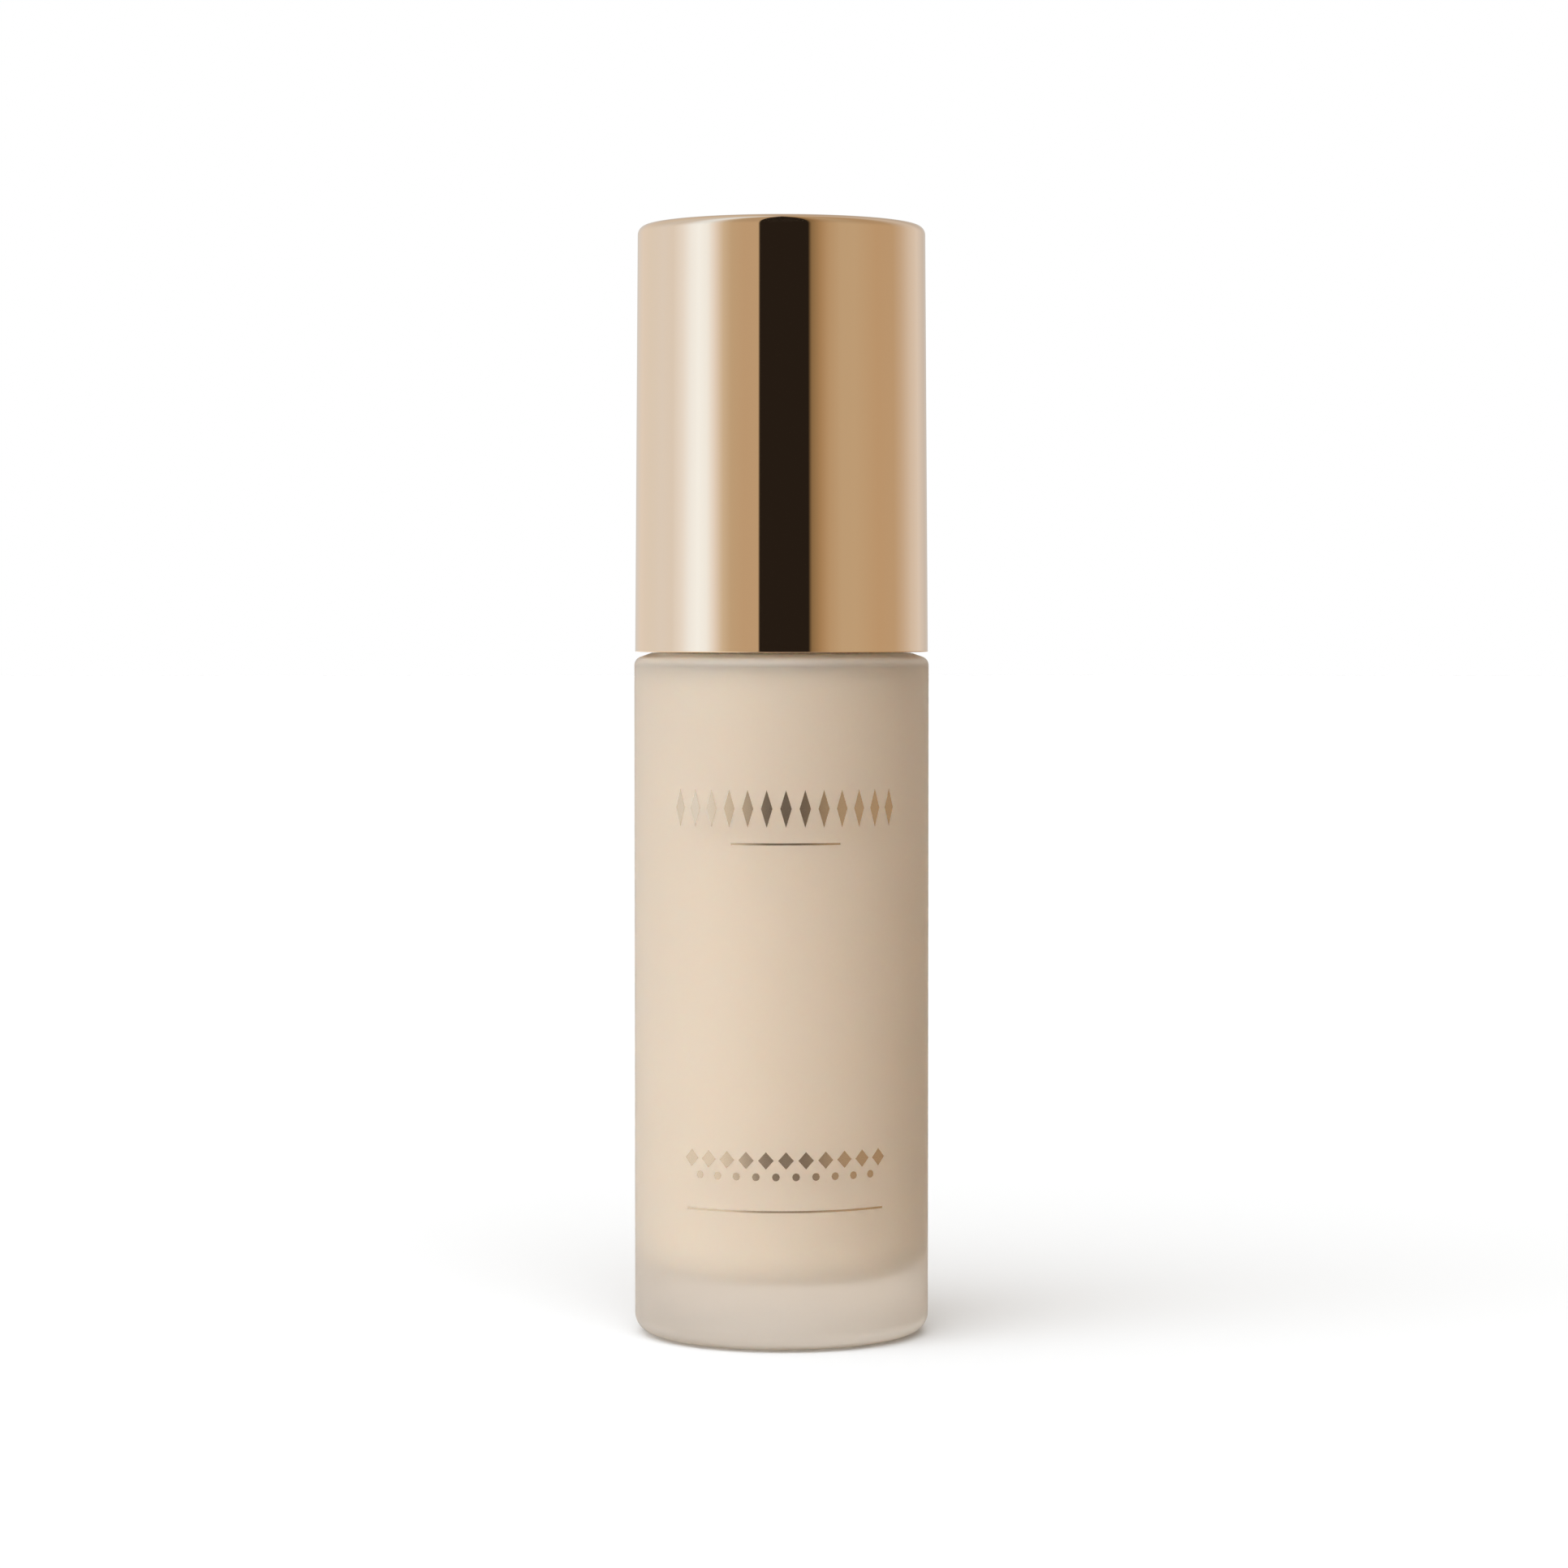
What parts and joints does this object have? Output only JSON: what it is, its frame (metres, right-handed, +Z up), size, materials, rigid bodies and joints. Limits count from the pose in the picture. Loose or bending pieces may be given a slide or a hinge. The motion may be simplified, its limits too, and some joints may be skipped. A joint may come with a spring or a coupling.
{
  "type": "foundation bottle",
  "caption": "Round frosted glass foundation bottle with a screw-on treatment pump, hidden under a mirror gold overcap of the same diameter.",
  "frame": {"origin": "centre of the bottle's foot ring, on the surface it stands on", "axes": "+Z up along the bottle's axis, through the cap; the pump's nozzle faces -Y"},
  "size_m": [0.033, 0.033, 0.1238],
  "materials": {
    "frosted_glass": "acid-frosted clear glass, thick walls, satin outside and smooth inside",
    "foundation": "opaque beige liquid, smooth",
    "label_film": "blank satin label",
    "gasket": "soft white sealing disc",
    "natural_plastic": "natural milky polypropylene",
    "white_plastic": "satin white polypropylene",
    "steel_ball": "polished steel ball",
    "spring_steel": "drawn spring wire",
    "gold_aluminium": "bright anodised champagne gold",
    "gold_mirror": "vacuum-metallised champagne gold mirror under clear lacquer"
  },
  "bodies": {
    "bottle": {"glass_bottle": "frosted_glass", "foundation_fill": "foundation", "base_label": "label_film"},
    "pump": {"pump_housing": "natural_plastic", "stem_retainer": "white_plastic", "neck_gasket": "gasket", "dip_tube": "natural_plastic"},
    "closure": {"closure": "white_plastic", "collar_sleeve": "gold_aluminium"},
    "cap": {"cap_outer_shell": "gold_mirror", "cap_liner": "white_plastic"},
    "stem": {"stem": "white_plastic", "piston_seat": "natural_plastic", "return_spring": "spring_steel"},
    "piston": {"piston": "natural_plastic"},
    "actuator": {"actuator_core": "white_plastic", "actuator_shell": "gold_aluminium", "nozzle_insert": "white_plastic"},
    "check_ball": {"check_ball": "steel_ball"}
  },
  "joints": [
    {"name": "pump_lift", "type": "slide", "parent": "bottle", "child": "pump", "axis": [0, 0, 1], "range_m": [0, 0.00635]},
    {"name": "closure_turn", "type": "hinge", "parent": "pump", "child": "closure", "pos_m": [0, 0, 0.085], "axis": [0, 0, 1], "range_deg": [0, 720]},
    {"name": "cap_lift", "type": "slide", "parent": "closure", "child": "cap", "axis": [0, 0, 1], "range_m": [0, 0.05]},
    {"name": "actuator_press", "type": "slide", "parent": "pump", "child": "stem", "axis": [0, 0, -1], "range_m": [0, 0.004], "stiffness_N_per_m": 1200, "springref_m": -0.004, "deforming": ["return_spring"]},
    {"name": "actuator_spin", "type": "hinge", "parent": "stem", "child": "actuator", "pos_m": [0, 0, 0.108], "axis": [0, 0, 1], "continuous": true},
    {"name": "piston_shift", "type": "slide", "parent": "stem", "child": "piston", "axis": [0, 0, 1], "range_m": [0, 0.0008]},
    {"name": "check_ball_lift", "type": "slide", "parent": "pump", "child": "check_ball", "axis": [0, 0, 1], "range_m": [0, 0.001]}
  ],
  "couplings": [
    {"joint": "pump_lift", "follows": "closure_turn", "m_per_rad": 0.00050532}
  ]
}
